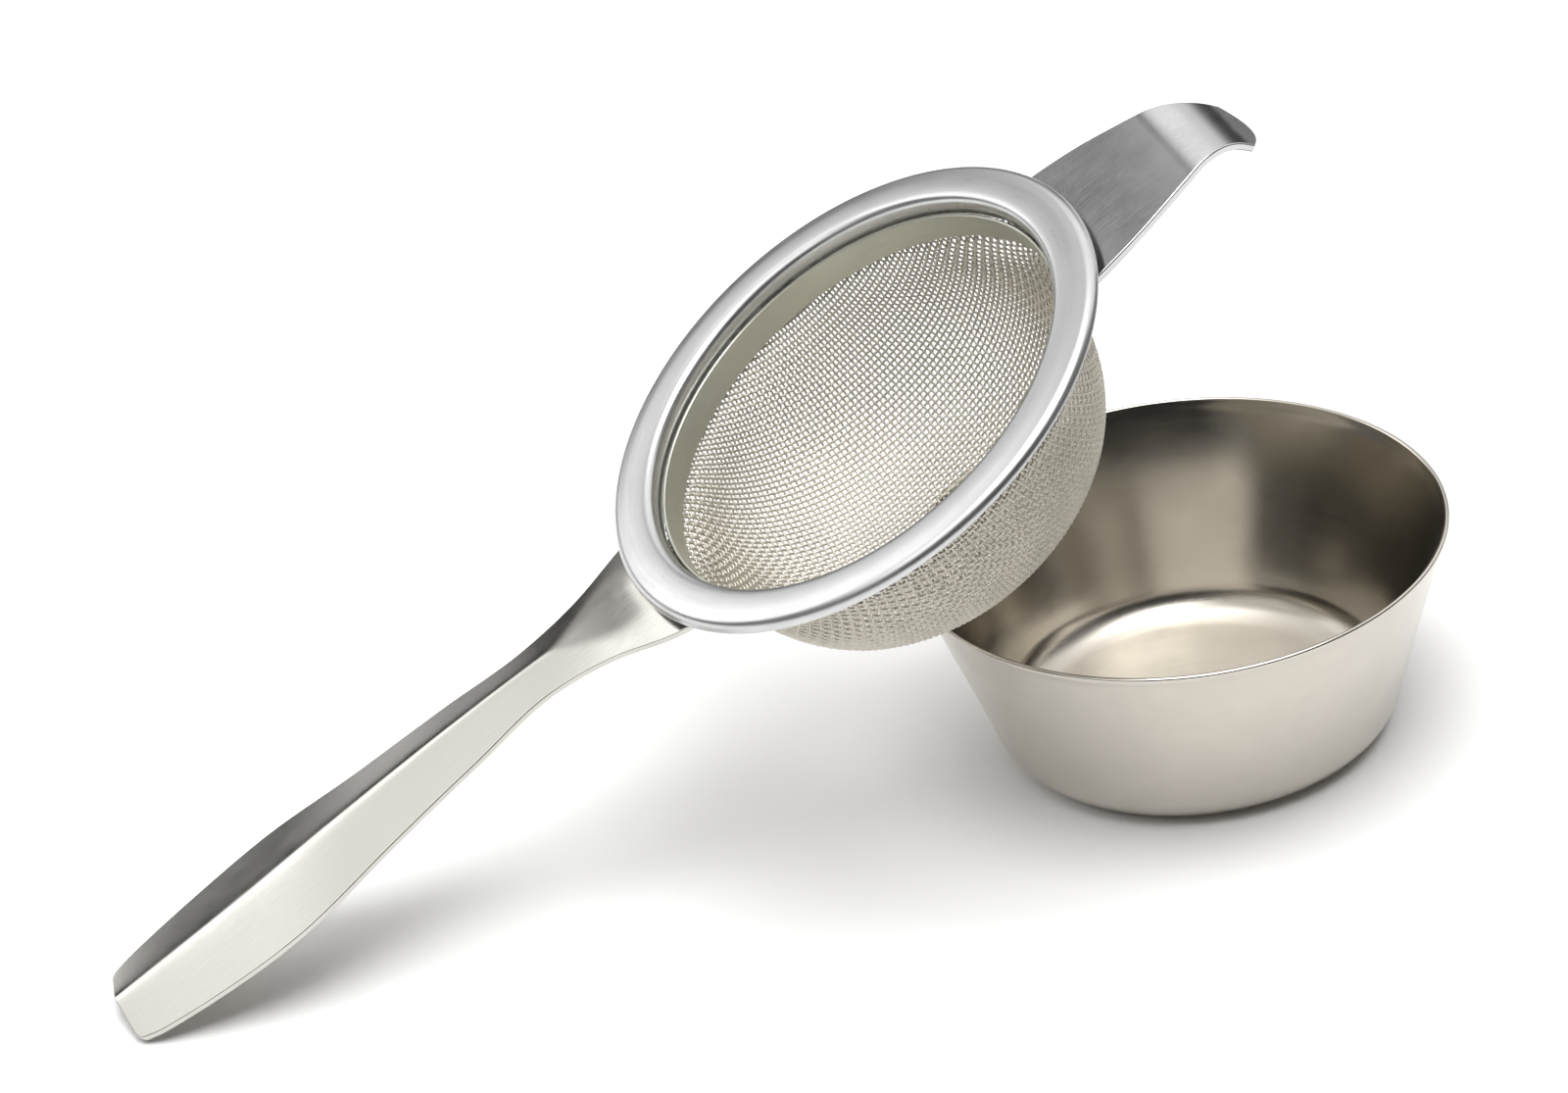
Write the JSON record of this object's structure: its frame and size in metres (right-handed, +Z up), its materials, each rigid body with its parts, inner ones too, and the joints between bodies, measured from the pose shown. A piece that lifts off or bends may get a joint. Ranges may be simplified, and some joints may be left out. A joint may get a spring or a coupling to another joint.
{
  "type": "tea strainer with drip bowl",
  "caption": "Steel tea strainer: woven mesh basket in a flanged rim with a roof-section handle and a hooked rest tab, leaning on its round drip bowl.",
  "frame": {"origin": "centre of the drip bowl's flat foot, on the table", "axes": "+Z up along the bowl's axis, -X towards the end of the strainer's handle, +Y to the far side seen from the front"},
  "size_m": [0.1814, 0.0757, 0.0833],
  "materials": {
    "bowl_steel": "satin spun steel, finely brushed round the axis",
    "rim_steel": "satin, polished on the rolled edges",
    "wire_cloth": "plain woven bare wire",
    "handle_steel": "satin, brushed along its length"
  },
  "bodies": {
    "drip_bowl": {"drip_bowl": "bowl_steel"},
    "strainer": {"rim_ring": "rim_steel", "retaining_ring": "rim_steel", "mesh_basket": "wire_cloth", "handle": "handle_steel", "rest_tab": "handle_steel"}
  },
  "joints": [
    {"name": "strainer_lift", "type": "slide", "parent": "drip_bowl", "child": "strainer", "axis": [0, 0, 1], "range_m": [0, 0.08]}
  ]
}
